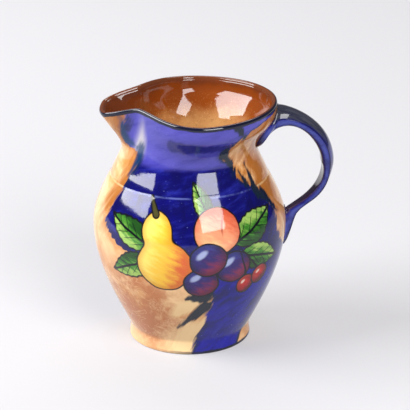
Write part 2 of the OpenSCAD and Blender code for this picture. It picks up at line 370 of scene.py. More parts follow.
def spread_flat(piece, rows, count):
    """Lays the piece out flat for baking: once round is the full width, and each ring has its own row."""
    mesh = piece.data
    rings = len(rows)
    corner = np.empty(len(mesh.loops), dtype=np.int64)
    mesh.loops.foreach_get("vertex_index", corner)
    face = np.empty(len(mesh.polygons), dtype=np.int64)
    mesh.polygons.foreach_get("loop_start", face)
    sizes = np.diff(np.append(face, len(corner)))
    owner = np.repeat(np.arange(len(face)), sizes)
    column = (corner % count) / count
    capped = corner >= rings * count
    low = np.minimum.reduceat(np.where(capped, 1.0, column), face)[owner]
    high = np.maximum.reduceat(np.where(capped, 0.0, column), face)[owner]
    wraps = high - low > 0.5
    column = np.where(wraps & (column < 0.5), column + 1.0, column)
    middle = np.where(wraps, 1 - 0.5 / count, (low + high) / 2)
    height = np.append(rows, [0.0, 1.0])[np.minimum(corner // count, rings)]
    height = np.where(corner == rings * count + 1, 1.0, height)
    flat = np.stack([np.where(capped, middle, column), height], axis=-1)
    layer = mesh.uv_layers.new(name="OFBake")
    layer.data.foreach_set("uv", flat.astype(np.float32).ravel())


def make_body():
    turn = turns(SEGMENTS)
    under = underside_rings(turn)
    outside, below = outside_rings(turn)
    lip = lip_rings(turn)
    inside = inside_rings(turn, lambda share: WALL, INSIDE_STEPS, 0.0)
    bare = len(under) - FOOT_EDGE_STEPS
    marks = [np.full(SEGMENTS, UNDER_MARK + RIM_Z)] * bare
    marks += [RIM_Z - ring[:, 2] for ring in under[bare:]] + below
    marks += [np.full(SEGMENTS, -i / LIP_STEPS) for i in range(1, LIP_STEPS)]
    marks += [np.full(SEGMENTS, -1.0)] * len(inside)
    piece = make_piece("Body", under + outside + lip + inside, marks={"below_rim": np.concatenate(marks)})
    rows = np.concatenate([
        np.linspace(*UNDER_ROWS, len(under)),
        np.linspace(*OUTSIDE_ROWS, len(outside)),
        np.linspace(*LIP_ROWS, len(lip)),
        np.linspace(*INSIDE_ROWS, len(inside)),
    ])
    spread_flat(piece, rows, SEGMENTS)
    return piece


# Glaze lining

LINING_STEPS = 30
# How fast the glaze swells from its edge, as a power
LINING_POWER = 0.6
# How far the lining's edge and its hidden back sink into the wall
EDGE_SINK = 0.04
BACK_SINK = 0.08
# Distance below the rim that the hidden back is given
BACK_MARK = 60.0


def lining_depth(share):
    """The glaze thins out to nothing at the lip."""
    reach = share * NECK_H / GLAZE_EDGE
    return WALL - EDGE_SINK + (GLAZE_T + EDGE_SINK) * min(reach, 1.0) ** LINING_POWER


def make_lining():
    turn = turns(LINING_SEGMENTS)
    front = inside_rings(turn, lining_depth, LINING_STEPS, GLAZE_T)
    back = inside_rings(turn, lambda share: WALL - BACK_SINK, LINING_STEPS // 3, -BACK_SINK)
    below = [np.full(LINING_SEGMENTS, BACK_MARK)] * len(back)
    below += [np.full(LINING_SEGMENTS, i / LINING_STEPS * NECK_H) for i in range(LINING_STEPS)]
    below += [RIM_Z - ring[:, 2] for ring in front[LINING_STEPS:]]
    return make_piece("Inner_glaze", back[::-1] + front, marks={"below_rim": np.concatenate(below)})


# Handle

def bezier(t, a, b, c, d):
    a, b, c, d = (np.asarray(p, dtype=float) for p in (a, b, c, d))
    t = t[:, None]
    return a * (1 - t) ** 3 + b * 3 * t * (1 - t) ** 2 + c * 3 * t**2 * (1 - t) + d * t**3


def on_wall(z):
    """The wall's place under the handle at a height, as (out, up)."""
    return np.array([float(outer_radius(np.array(HANDLE_SIDE), np.array(z))), z])


def stretch(steps, start, start_pull, end, end_pull):
    """A curve from start to end that each end's pull draws out."""
    t = np.arange(steps + 1) / steps
    return bezier(t, start, start + np.array(start_pull), end + np.array(end_pull), end)


def strap_edges():
    """The strap's outer and inner edge, as (out, up), from the neck to the end of the tail."""
    root_outer = on_wall(UPPER_ROOT_Z)
    root_inner = on_wall(UPPER_ROOT_Z - UPPER_ROOT_H)
    bow_inner = np.array([BELLY_R + FINGER_GAP, BOW_Z])
    bow_outer = bow_inner + (STRAP_T, 0)
    elbow_outer = on_wall(LOWER_ROOT_Z) + (ELBOW_OUT, 0)
    elbow_inner = on_wall(LOWER_ROOT_Z) + INNER_TAIL_LEAD
    tail_start = -np.array(OUTER_TAIL_START)
    outer = [
        stretch(UPPER_STATIONS, root_outer, OUTER_ROOT_PULL, bow_outer, (0, OUTER_BOW_RISE)),
        stretch(LOWER_STATIONS, bow_outer, (0, -OUTER_BOW_FALL), elbow_outer, OUTER_ELBOW_PULL)[1:],
        stretch(TAIL_STATIONS, elbow_outer, tail_start, on_wall(TAIL_Z), OUTER_TAIL_END)[1:],
    ]
    inner = [
        stretch(UPPER_STATIONS, root_inner, INNER_ROOT_PULL, bow_inner, (0, INNER_BOW_RISE)),
        stretch(LOWER_STATIONS, bow_inner, (0, -INNER_BOW_FALL), elbow_inner, INNER_ELBOW_PULL)[1:],
        stretch(TAIL_STATIONS, elbow_inner, (0, 0), on_wall(LOWER_ROOT_Z), (0, 0))[1:],
    ]
    return np.concatenate(outer), np.concatenate(inner)


def strap_sizes():
    """Width of the strap and rise of its outer face at each station."""
    upper = np.arange(UPPER_STATIONS + 1) / UPPER_STATIONS
    lower = np.arange(1, LOWER_STATIONS + 1) / LOWER_STATIONS
    tail = np.arange(1, TAIL_STATIONS + 1) / TAIL_STATIONS
    width = [
        BOW_W + (ROOT_W - BOW_W) * (1 - upper) ** 2,
        BOW_W + (ELBOW_W - BOW_W) * lower,
        ELBOW_W + (TAIL_W - ELBOW_W) * tail,
    ]
    rise = [
        np.full(len(upper), OUTER_CROWN),
        OUTER_CROWN + (ELBOW_CROWN - OUTER_CROWN) * lower,
        np.full(len(tail), ELBOW_CROWN),
    ]
    return np.concatenate(width), np.concatenate(rise)


OUTER_EDGE, INNER_EDGE = strap_edges()
STRAP_WIDTH, STRAP_RISE = strap_sizes()
LAST_STATION = len(OUTER_EDGE) - 1
STRAP_TURNS = np.arange(STRAP_SIDES) * 2 * math.pi / STRAP_SIDES


def squared(value, power):
    return np.sign(value) * np.abs(value) ** power


# The section's outer face is a shallow dome and the rest a rounded slab, with creases between them
DOMED = np.sin(STRAP_TURNS) >= 0
STRAP_ACROSS = np.where(DOMED, np.cos(STRAP_TURNS), squared(np.cos(STRAP_TURNS), STRAP_SQUARE_W))
STRAP_ALONG = np.where(DOMED, np.sin(STRAP_TURNS) ** 2, -np.abs(np.sin(STRAP_TURNS)) ** STRAP_SQUARE_T)


def to_wall(points, sink=0.0):
    """The points moved along X onto the wall, or a little into it."""
    z = np.minimum(points[:, 2], RIM_Z)
    r = outer_radius(np.full(len(z), HANDLE_SIDE), z) - sink
    return np.stack([np.sqrt(r**2 - points[:, 1] ** 2), points[:, 1], z], axis=-1)


def off_wall(points):
    """The points, with those inside the wall moved onto it."""
    z = np.minimum(points[:, 2], RIM_Z)
    inside = np.hypot(points[:, 0], points[:, 1]) < outer_radius(np.full(len(z), HANDLE_SIDE), z)
    return np.where(inside[:, None], to_wall(points), points)


def strap_section(station, margin=0.0):
    """The strap's section at a station, made larger by a margin."""
    inner, outer = INNER_EDGE[station], OUTER_EDGE[station]
    height = np.linalg.norm(outer - inner)
    up = (outer - inner) / height
    reach = STRAP_ALONG * (np.where(DOMED, STRAP_RISE[station], height + INNER_CROWN) + margin)
    spot = outer + up * reach[:, None]
    across = STRAP_ACROSS * (STRAP_WIDTH[station] / 2 + margin)
    return np.stack([spot[:, 0], across, spot[:, 1]], axis=-1)


def strap_loop(station):
    """The strap's section, on the wall at both ends and kept out of it between them."""
    section = strap_section(station)
    return to_wall(section) if station in (0, LAST_STATION) else off_wall(section)


def strap_marks(count):
    """Where a point lies on the strap's section: outer or inner face, and side."""
    return {"strap_face": np.tile(STRAP_ALONG, count), "strap_side": np.tile(STRAP_ACROSS, count)}


def make_handle():
    rings = [strap_loop(station) for station in range(LAST_STATION + 1)]
    return make_piece("Handle", rings, marks=strap_marks(len(rings)))


# Slip fillets round the roots

# How far a fillet's back sinks into the strap and the wall, its foot into the wall, and its edge
# into the strap
LUTE_SINK = 0.25
LUTE_FOOT_SINK = 0.05
LUTE_EDGE = 0.05


def make_lute(name, root, way, flip):
    """A hollow fillet from the wall at a root, running out along the strap."""
    outer, inner = [], []
    for step in range(LUTE_STATIONS + 1):
        station = root + way * step
        margin = (LUTE_W + LUTE_EDGE) * (1 - step / LUTE_STATIONS) ** 2 - LUTE_EDGE
        section = strap_section(station, margin)
        outer.append(to_wall(section, LUTE_FOOT_SINK) if step == 0 else off_wall(section))
        buried = strap_section(station, -LUTE_SINK)
        inner.append(to_wall(buried, LUTE_SINK) if step == 0 else off_wall(buried))
    rings = outer + inner[::-1]
    return make_piece(name, rings, closed=True, flip=flip, marks=strap_marks(len(rings)))


# Finishes: each call adds nodes to a material and returns what comes out of them

GLAZE_IOR = 1.5
GLAZE_ROUGHNESS = 0.05
# How much rougher it is in places, and how much of such a place there is in a millimetre
GLAZE_UNEVEN = 0.03
GLAZE_UNEVEN_SCALE = 0.09
# Strength of its slow waves, and how much of one there is in a millimetre
GLAZE_PEEL = 0.05
GLAZE_PEEL_SCALE = 0.16


class Finish:
    """A material's nodes."""

    def __init__(self, name):
        self.material = bpy.data.materials.new(name)
        self.material.use_nodes = True
        self.tree = self.material.node_tree
        self.tree.nodes.clear()

    def node(self, kind, values, **settings):
        node = self.tree.nodes.new(kind)
        for key, value in settings.items():
            setattr(node, key, value)
        for key, value in values.items():
            if isinstance(value, bpy.types.NodeSocket):
                self.tree.links.new(value, node.inputs[key])
            else:
                node.inputs[key].default_value = value
        return node

    def math(self, operation, first, second=0.0, third=0.0):
        values = {0: first, 1: second, 2: third}
        return self.node("ShaderNodeMath", values, operation=operation).outputs[0]

    def plus(self, first, second):
        return self.math("ADD", first, second)

    def minus(self, first, second):
        return self.math("SUBTRACT", first, second)

    def times(self, *values):
        """The product of all the values."""
        product = values[0]
        for value in values[1:]:
            product = self.math("MULTIPLY", product, value)
        return product

    def scaled(self, value, scale, start):
        """The value times a scale, plus a start."""
        return self.math("MULTIPLY_ADD", value, scale, start)

    def most(self, first, second):
        return self.math("MAXIMUM", first, second)

    def unsigned(self, value):
        return self.math("ABSOLUTE", value)

    def vector(self, operation, first, second):
        return self.node("ShaderNodeVectorMath", {0: first, 1: second}, operation=operation).outputs[0]

    def length(self, vector):
        return self.node("ShaderNodeVectorMath", {0: vector}, operation="LENGTH").outputs["Value"]

    def step(self, value, low, high, interpolation="SMOOTHSTEP"):
        """0 at low and 1 at high, smooth between them."""
        values = {"Value": value, "From Min": low, "From Max": high}
        return self.node("ShaderNodeMapRange", values, interpolation_type=interpolation).outputs[0]

    def mix(self, share, under, over):
        values = {0: share, 6: under, 7: over}
        return self.node("ShaderNodeMix", values, data_type="RGBA").outputs[2]

    def wash(self, under, over, *covers):
        """A colour laid over another, as far as all its covers let it."""
        return self.mix(self.times(*covers), under, over)

    def noise(self, place, scale, detail=3.0, rough=0.5, warp=0.0):
        values = {"Vector": place, "Scale": scale, "Detail": detail, "Roughness": rough}
        return self.node("ShaderNodeTexNoise", {**values, "Distortion": warp}).outputs[0]

    def swing(self, place, *settings):
        """Noise about 0."""
        return self.minus(self.noise(place, *settings), 0.5)

    def bristles(self, spot, angle, streak, detail, rough):
        """Noise in the streaks of a brush drawn at an angle in degrees."""
        return self.noise(self.local(spot, (0.0, 0.0), angle, streak), 1.0, detail, rough)

    def shake(self, spot, place, scale, reach):
        """The spot, moved about by up to a reach, as a hand-held brush strays."""
        values = {"Vector": place, "Scale": scale, "Detail": 2.0}
        stray = self.node("ShaderNodeTexNoise", values).outputs[1]
        stray = self.vector("SUBTRACT", stray, (0.5, 0.5, 0.5))
        return self.vector("ADD", spot, self.vector("MULTIPLY", stray, (2 * reach, 2 * reach, 0.0)))

    def mark(self, name):
        return self.node("ShaderNodeAttribute", {}, attribute_name=name).outputs["Fac"]

    def place(self):
        """The point in the jug's frame, in millimetres."""
        spot = self.node("ShaderNodeTexCoord", {}).outputs["Object"]
        node = self.node("ShaderNodeVectorMath", {0: spot, "Scale": 1 / MM}, operation="SCALE")
        return node.outputs[0]

    def split(self, vector):
        return self.node("ShaderNodeSeparateXYZ", {0: vector}).outputs

    def join(self, x, y):
        return self.node("ShaderNodeCombineXYZ", {0: x, 1: y}).outputs[0]

    def local(self, spot, centre, angle=0.0, size=(1.0, 1.0)):
        """The spot as seen from a centre, turned by an angle in degrees, in units of a size."""
        values = {
            "Vector": spot,
            "Location": (*centre, 0.0),
            "Rotation": (0.0, 0.0, math.radians(angle)),
            "Scale": (*size, 1.0),
        }
        return self.node("ShaderNodeMapping", values, vector_type="TEXTURE").outputs[0]

    def curve(self, value, points, top, reach):
        """An angle, up to a reach either way, that follows given points (height, angle) up to a top."""
        height = self.math("DIVIDE", value, top)
        node = self.node("ShaderNodeFloatCurve", {"Value": height})
        line = node.mapping.curves[0].points
        for _ in points[2:]:
            line.new(0.5, 0.5)
        for point, (up, angle) in zip(line, points):
            point.location = (up / top, (angle + reach) / (2 * reach))
        node.mapping.update()
        return self.scaled(node.outputs[0], 2 * reach, -reach)

    def glaze(self, colour, place):
        """A clear glossy glaze over a colour, with its slight unevenness."""
        rough = self.step(self.noise(place, GLAZE_UNEVEN_SCALE, 3.0), 0.2, 0.8, "LINEAR")
        rough = self.scaled(rough, GLAZE_UNEVEN, GLAZE_ROUGHNESS)
        height = self.noise(place, GLAZE_PEEL_SCALE, 2.0)
        bump = self.node("ShaderNodeBump", {"Height": height, "Strength": GLAZE_PEEL, "Distance": MM})
        values = {"Base Color": colour, "Roughness": rough, "IOR": GLAZE_IOR, "Normal": bump.outputs[0]}
        shader = self.node("ShaderNodeBsdfPrincipled", values)
        self.node("ShaderNodeOutputMaterial", {"Surface": shader.outputs[0]})
        return self.material


# Paint on the body. A spot of it is w, an angle from the middle of the front in degrees, which is about
# as many millimetres at the belly, and v, a height. The back has the front's ground, and its fruit
# mirrored.

# Height at which the painted edges end
PAINT_TOP = 153.0
# The front meets the back at this angle, and what differs there fades out before it
SEAM = 90.0
FADE = 16.0
# The blue lies between two listed edges, as (height, angle)
LEFT_EDGE = (
    (0, -2), (8, 2), (18, 6), (25, 9), (33, 11), (42, 12), (48, 8), (52, 2), (56, -3), (60, -8),
    (65, -22), (70, -38), (76, -54), (82, -61), (95, -62), (104, -58), (112, -55), (119, -51), (124, -50),
    (127, -56), (129, -66), (133, -68), (140, -66), (147, -63), (153, -61),
)
RIGHT_EDGE = (
    (0, 48), (5, 55), (10, 60), (16, 66), (22, 76), (30, 86), (40, 89), (60, 84), (66, 72), (72, 65),
    (80, 62), (92, 62), (100, 56), (107, 49), (114, 38), (121, 36), (124, 28), (128, 25), (132, 27),
    (138, 34), (143, 43), (146, 56), (148, 72), (153, 86),
)
# Loose dark brush strokes over the edges of the blue: start, end, half width
DARK_STROKES = (
    ((9, 37), (-12, 20), 4.4),
    ((7, 45.5), (-5, 43.5), 5.6),
    ((52, 103), (49, 120), 3.6),
    ((58, 100), (66, 88), 3.4),
    ((26, 129), (37, 118), 3.8),
    ((44, 110), (40, 117), 2.6),
    ((31, 147), (38, 139), 2.8),
)
# Softer teal ones by the spout
TEAL_STROKES = (
    ((-49, 126), (-56, 112), 4.6),
    ((-64, 131), (-54, 129), 2.6),
    ((-67, 134), (-65, 146), 2.6),
)
# A pale smear in the blue by the spout, and a darker stroke across the neck
PALE_SMEAR = ((-51, 126), (-46, 152), 6.0)
NECK_STROKE = ((-15, 136), (45, 134), 4.0)
# A stroke's half width in its middle, and what it loses towards its end, as shares of its full one
STROKE_MIDDLE = 0.58
STROKE_LOSS = 0.42
# Centre, angle and half sizes of the marbled part low on the left, and of the cream patches in front
MARBLED = ((-40.0, 32.0), 0.0, (46.0, 40.0))
CREAM_PATCHES = (
    ((2.0, 10.0), 40.0, (29.0, 16.0)),
    ((-6.0, 36.0), 35.0, (12.0, 5.0)),
)
# Brushes: angle in degrees, length and width of the streaks, and their detail and roughness
EDGE_BRUSH = (56.0, (19.0, 4.2), 2.5, 0.55)
BLUE_BRUSH = (14.0, (26.0, 5.0), 4.0, 0.6)
FOOT_BRUSH = (40.0, (18.0, 6.5), 3.0, 0.55)
FRUIT_BRUSH = (-24.0, (9.0, 2.6), 4.0, 0.6)
# Straying of the hand: how much of a stray there is in a millimetre, and its reach
GROUND_SHAKE = (0.06, 1.8)
FRUIT_SHAKE = (0.09, 0.9)
# Noise: how much of a patch there is in a millimetre, then detail, roughness and warp
TAN_CLOUD = (0.045, 4.0, 0.6, 0.6)
BROWN_BLOT = (0.085, 3.0, 0.55, 0.4)
MARBLED_WASH = (0.055, 3.0, 0.55, 0.25)
MARBLED_GRAIN = (0.45, 2.0)
MARBLED_VEIN = (0.07, 3.0, 0.5, 1.6)
FINE_WASH = (0.12, 4.0, 0.6, 0.3)
BLUE_POOL = (0.06, 5.0, 0.62, 0.4)
BLUE_SPECK = (1.1, 1.0)
LINE_STRAY = (0.12, 2.0)
CLAY_CLOUD = (0.22, 5.0, 0.62)
# Heights or angles over which a wash comes in, from none to all
BROWN_Z = (55.0, 95.0)
RIGHT_BROWN_Z = (70.0, 100.0)
RIGHT_BROWN_ANGLES = (25.0, 50.0)
LOW_BLUE_Z = (70.0, 48.0)
FOOT_BLUE_Z = (74.0, 50.0)
# The neck's paler blue, lighter paint with a painted reflection of the table over it, comes in over these
# heights
NECK_REFLECTION_Z = (118.5, 123.5)
SMEAR_TOP_Z = (154.0, 130.0)
SMEAR_END_Z = (122.0, 130.0)
UPPER_FRINGE_Z = (100.0, 112.0)
LOWER_FRINGE_Z = (30.0, 20.0)
# Heights and angles of a painted contact shade along the bottom of the foot, strongest between the front
# and the handle and gone towards the spout
FOOT_SHADE_Z = (2.3, 1.5)
FOOT_SHADE_ANGLES = (-50.0, 20.0)
# Height of the pale line on the moulded one, partly thinner glaze and partly a painted highlight
RIDGE_HIGHLIGHT_Z = LINE_Z - 0.6
# Marks over which these come in: the black line by the distance below the rim, the brown by the share
# of the way over the lip, as a negative number, and the bare clay by the mark of the underside
RIM_LINE_MARKS = (1.1, 0.4)
LIP_BROWN_MARKS = (-0.34, -0.54)
BARE_CLAY_MARKS = (UNDER_MARK + 70.0, UNDER_MARK + 74.0)

INK = (0.005, 0.005, 0.01, 1)
BLUE_DEEP = (0.003, 0.0025, 0.07, 1)
BLUE_MID = (0.0035, 0.003, 0.125, 1)
BLUE_LIGHT = (0.018, 0.023, 0.28, 1)
BLUE_LOW = (0.006, 0.005, 0.29, 1)
# Neck blues: lighter paint with a painted reflection of the table added in
NECK_DEEP_AND_REFLECTION = (0.036, 0.032, 0.28, 1)
NECK_BLUE_AND_REFLECTION = (0.07, 0.062, 0.38, 1)
TEAL_DARK = (0.005, 0.013, 0.028, 1)
TEAL_BLUE = (0.006, 0.035, 0.11, 1)
TAN_PALE = (0.86, 0.56, 0.29, 1)
TAN_WARM = (0.64, 0.285, 0.085, 1)
TAN_BROWN = (0.39, 0.132, 0.026, 1)
PINK_BROWN = (0.49, 0.172, 0.062, 1)
CREAM = (0.84, 0.59, 0.3, 1)
SMEAR_PALE = (0.62, 0.58, 0.46, 1)
CLAY = (0.7, 0.58, 0.43, 1)
CLAY_STAIN = (0.52, 0.38, 0.24, 1)
# Pale blue for specks in the paint and for the painted highlight along the moulded line
SPECK_AND_RIDGE_HIGHLIGHT = (0.16, 0.2, 0.52, 1)
# Black of the rim line, also used for the painted contact shade at the foot
RIM_BLACK_AND_FOOT_SHADE = (0.006, 0.007, 0.022, 1)
RIM_BROWN = (0.13, 0.035, 0.012, 1)
# Width of an inked outline, and half the width of a painted shape's soft edge
INK_W = 0.9
EDGE = 0.35
# Kinds of stroke: the strokes, half the width of their soft edge, how well they cover, their paint
STROKE_KINDS = (
    (TEAL_STROKES, 2.2, 0.92, TEAL_BLUE),
    (DARK_STROKES, 1.1, 0.99, TEAL_DARK),
)


def covered(f, gap, edge=EDGE):
    """How far a shape covers a spot, from its distance outside the shape."""
    return f.step(gap, edge, -edge)


def off_seam(f, w):
    """1 on the front and the back, falling to 0 where they meet."""
    return f.step(f.unsigned(w), SEAM, SEAM - FADE)


def stroke_gap(f, spot, start, end, half_width):
    """Distance outside a straight brush stroke that thins towards its end."""
    middle = ((start[0] + end[0]) / 2, (start[1] + end[1]) / 2)
    run, climb = end[0] - start[0], end[1] - start[1]
    half = math.hypot(run, climb) / 2
    along, off, _ = f.split(f.local(spot, middle, math.degrees(math.atan2(climb, run))))
    past = f.most(f.minus(f.unsigned(along), half), 0.0)
    thin = f.scaled(along, -STROKE_LOSS * half_width / half, STROKE_MIDDLE * half_width)
    return f.minus(f.length(f.join(past, off)), thin)


def tan_side(f, place, spot, w, v, drag, within):
    """Pale tan, with warm and brown washes, marbled low on the left, and cream round the foot."""
    colour = f.mix(f.step(f.noise(place, *TAN_CLOUD), 0.4, 0.66), TAN_PALE, TAN_WARM)

    blot = f.scaled(f.swing(place, *BROWN_BLOT), 1.1, f.scaled(drag, 0.45, 0.5))
    near = f.times(f.step(within, -20.0, -1.0), f.step(v, *BROWN_Z))
    right = f.times(f.step(w, *RIGHT_BROWN_ANGLES), f.step(v, *RIGHT_BROWN_Z))
    near = f.times(f.most(near, right), off_seam(f, w), f.step(within, 3.0, -1.0))
    colour = f.wash(colour, TAN_BROWN, near, f.step(blot, 0.14, 0.52))

    marbled = f.step(f.length(f.local(spot, *MARBLED)), 1.15, 0.4)
    wash = f.noise(place, *MARBLED_WASH)
    wash = f.scaled(f.swing(place, *MARBLED_GRAIN), 0.3, wash)
    colour = f.wash(colour, PINK_BROWN, marbled, f.step(wash, 0.2, 0.58))
    vein = f.unsigned(f.swing(place, *MARBLED_VEIN))
    colour = f.wash(colour, CREAM, f.step(vein, 0.022, 0.004), marbled, 0.3)

    for patch in CREAM_PATCHES:
        pale = f.scaled(drag, 1.6, f.length(f.local(spot, *patch)))
        colour = f.wash(colour, CREAM, f.step(pale, 1.2, 0.6), 0.85)
    return colour


def blue_side(f, place, spot, v, drag, within, fine, ridge_highlight):
    """Brushed blue, streaked low down, paler on the neck (lighter paint with a painted reflection of the
    table over it), with dark edges and a pale smear.
    """
    brushed = f.bristles(spot, *BLUE_BRUSH)
    zone = f.noise(place, *BLUE_POOL)
    blue = f.mix(f.step(zone, 0.36, 0.64), BLUE_DEEP, BLUE_MID)
    blue = f.wash(blue, BLUE_LIGHT, f.step(brushed, 0.46, 0.74), f.step(zone, 0.38, 0.6), 0.9)
    blue = f.wash(blue, BLUE_LOW, f.step(v, *LOW_BLUE_Z), f.step(brushed, 0.15, 0.65))
    sweep = f.bristles(spot, *FOOT_BRUSH)
    foot = f.step(v, *FOOT_BLUE_Z)
    blue = f.wash(blue, BLUE_DEEP, foot, f.step(sweep, 0.52, 0.3), 0.85)
    blue = f.wash(blue, BLUE_LIGHT, foot, f.step(sweep, 0.54, 0.74), 0.6)

    # Painted reflection of the table on the neck, over lighter paint
    neck = f.mix(f.step(brushed, 0.2, 0.6), NECK_DEEP_AND_REFLECTION, NECK_BLUE_AND_REFLECTION)
    blue = f.mix(f.step(v, *NECK_REFLECTION_Z), blue, neck)
    across = f.scaled(drag, -3.0, stroke_gap(f, spot, *NECK_STROKE))
    blue = f.wash(blue, BLUE_MID, f.step(across, 1.6, -1.0), 0.75)

    # Painted highlight along the moulded line, then pale specks in the paint
    blue = f.wash(blue, SPECK_AND_RIDGE_HIGHLIGHT, ridge_highlight, 0.45)
    blue = f.wash(blue, SPECK_AND_RIDGE_HIGHLIGHT, f.step(f.noise(place, *BLUE_SPECK), 0.74, 0.8), 0.6)
    ends = f.most(f.step(v, *UPPER_FRINGE_Z), f.step(v, *LOWER_FRINGE_Z))
    blue = f.wash(blue, TEAL_DARK, f.step(within, 9.0, 0.0), f.step(fine, 0.3, 0.58), ends, 0.85)
    smear = f.step(f.scaled(drag, -4.0, stroke_gap(f, spot, *PALE_SMEAR)), 5.5, -4.5)
    ends = f.times(f.step(v, *SMEAR_TOP_Z), f.step(v, *SMEAR_END_Z))
    return f.wash(blue, SMEAR_PALE, smear, ends, 0.7)


def ground(f, place, spot):
    """The loose blue and tan washes round the jug."""
    w, v, _ = f.split(f.shake(spot, place, *GROUND_SHAKE))
    drag = f.times(f.minus(f.bristles(spot, *EDGE_BRUSH), 0.5), off_seam(f, w))
    left = f.minus(w, f.curve(v, LEFT_EDGE, PAINT_TOP, SEAM))
    right = f.minus(f.curve(v, RIGHT_EDGE, PAINT_TOP, SEAM), w)
    within = f.scaled(drag, 15.0, f.math("MINIMUM", left, right))

    fine = f.noise(place, *FINE_WASH)
    # A painted highlight along the moulded line, partly thinner glaze on it, broken up by a fine wash
    ridge_highlight = f.unsigned(f.minus(f.split(spot)[1], RIDGE_HIGHLIGHT_Z))
    ridge_highlight = f.times(f.step(ridge_highlight, 0.7, 0.2), f.step(fine, 0.32, 0.6))
    colour = tan_side(f, place, spot, w, v, drag, within)
    # The painted highlight along the moulded line, in cream on the tan
    colour = f.wash(colour, CREAM, ridge_highlight, 0.5)
    blue = blue_side(f, place, spot, v, drag, within, fine, ridge_highlight)
    colour = f.mix(f.step(within, -1.1, 1.1), colour, blue)

    for strokes, softness, cover, paint in STROKE_KINDS:
        for stroke in strokes:
            gap = f.scaled(drag, -7.0, stroke_gap(f, spot, *stroke))
            colour = f.wash(colour, paint, covered(f, gap, softness), cover)
    return colour


# Fruit: a plain spray of common fruit and leaves, each an inked shape filled with brushed colour

LEAF_DARK = (0.012, 0.06, 0.01, 1)
LEAF_GREEN = (0.045, 0.19, 0.02, 1)
LEAF_LIGHT = (0.3, 0.46, 0.1, 1)
# Centre, angle and half sizes of each leaf
LEAVES = (
    ((-40, 84), 158.0, (18.0, 8.0)),
    ((-39, 63), 203.0, (17.0, 7.5)),
    ((41, 86), 24.0, (18.0, 8.5)),
    ((44, 67), -14.0, (17.0, 8.0)),
    ((6, 104), 118.0, (11.0, 5.5)),
)
# How much a leaf narrows to its tip, how close its teeth and side ribs are, and how deep or slanted
LEAF_NARROWING = 0.32
TEETH = 4.0
TOOTH_DEPTH = 0.16
SIDE_RIBS = 2.6
SIDE_RIB_SLANT = 1.7

# Centre and half sizes of fruit, with the pear's neck turned and blended in, and ends and half widths
# of stalks
APRICOT = ((15.0, 87.0), (14.0, 13.0))
PEAR = ((-17.0, 66.0), (16.5, 15.5))
PEAR_NECK = ((-22.0, 87.0), (9.0, 10.5), 12.0)
PEAR_BLEND = 7.0
PEAR_STALK = ((-24.0, 96.0), (-29.0, 105.0), 1.6)
PLUMS = (
    ((25.0, 64.0), (10.5, 9.5)),
    ((5.0, 55.0), (10.0, 9.0)),
    ((9.0, 70.0), (10.5, 10.0)),
)
CHERRY_STALKS = (
    ((35.0, 53.0), (28.0, 76.0), 0.95),
    ((45.0, 56.0), (28.5, 76.0), 0.95),
)
CHERRIES = (
    ((35.0, 50.0), (6.2, 5.8)),
    ((46.0, 54.0), (6.2, 5.8)),
)

# Three colours of a brushed run, and the shade inside the outline
APRICOT_RUN = ((0.62, 0.1, 0.045, 1), (0.8, 0.3, 0.16, 1), (0.86, 0.5, 0.24, 1))
APRICOT_SHADE = (0.5, 0.08, 0.04, 1)
APRICOT_CREASE = (0.3, 0.03, 0.02, 1)
PEAR_RUN = ((0.62, 0.11, 0.025, 1), (0.8, 0.46, 0.035, 1), (0.8, 0.62, 0.13, 1))
PEAR_SHADE = (0.52, 0.17, 0.015, 1)
STALK_BROWN = (0.1, 0.09, 0.02, 1)
# Looks of the shiny fruit: how the tone leans on x and y, run of colours, the shine's centre, angle and
# half sizes in units of the fruit, its strength and its colour
PLUM_LOOK = (
    (-0.5, 0.7),
    ((0.2, 0.018, 0.06, 1), (0.025, 0.012, 0.12, 1), (0.035, 0.04, 0.26, 1)),
    ((-0.36, 0.38), 40.0, (0.46, 0.24)),
    0.75,
    (0.42, 0.48, 0.72, 1),
)
CHERRY_LOOK = (
    (-0.5, 0.6),
    ((0.13, 0.004, 0.008, 1), (0.42, 0.012, 0.014, 1), (0.68, 0.07, 0.04, 1)),
    ((-0.34, 0.36), 40.0, (0.34, 0.2)),
    1.0,
    (0.8, 0.55, 0.45, 1),
)


def leaf(f, under, spot, brush, centre, angle, size):
    """A toothed leaf with inked ribs."""
    x, y, _ = f.split(f.local(spot, centre, angle, size))
    x = f.math("MINIMUM", f.most(x, -1.2), 1.2)
    off = f.unsigned(y)
    full = f.times(f.scaled(x, f.times(x, -1.0), 1.0), f.scaled(x, -LEAF_NARROWING, 1.0))
    tooth = f.math("PINGPONG", f.times(x, TEETH), 0.5)
    gap = f.scaled(tooth, TOOTH_DEPTH, f.minus(off, full))
    gap = f.times(gap, size[1] * 0.8)
    colour = f.mix(covered(f, f.minus(gap, INK_W)), under, INK)
    tone = f.scaled(x, 0.14, f.scaled(y, 0.35, brush))
    fill = f.mix(f.step(tone, 0.28, 0.52), LEAF_DARK, LEAF_GREEN)
    fill = f.mix(f.step(tone, 0.5, 0.8), fill, LEAF_LIGHT)
    rib = f.step(off, 0.13, 0.05)
    side = f.math("PINGPONG", f.scaled(x, SIDE_RIBS, f.times(off, -SIDE_RIB_SLANT)), 0.5)
    side = f.times(f.step(side, 0.1, 0.03), f.step(off, 0.8, 0.55), 0.85)
    fill = f.mix(f.most(rib, side), fill, INK)
    return f.mix(covered(f, gap), colour, fill)


def round_gap(f, spot, centre, size, angle=0.0):
    """Distance outside an oval, and the spot as seen from its centre, 1 at the oval."""
    seen = f.local(spot, centre, angle, size)
    gap = f.times(f.minus(f.length(seen), 1.0), min(size))
    return gap, seen


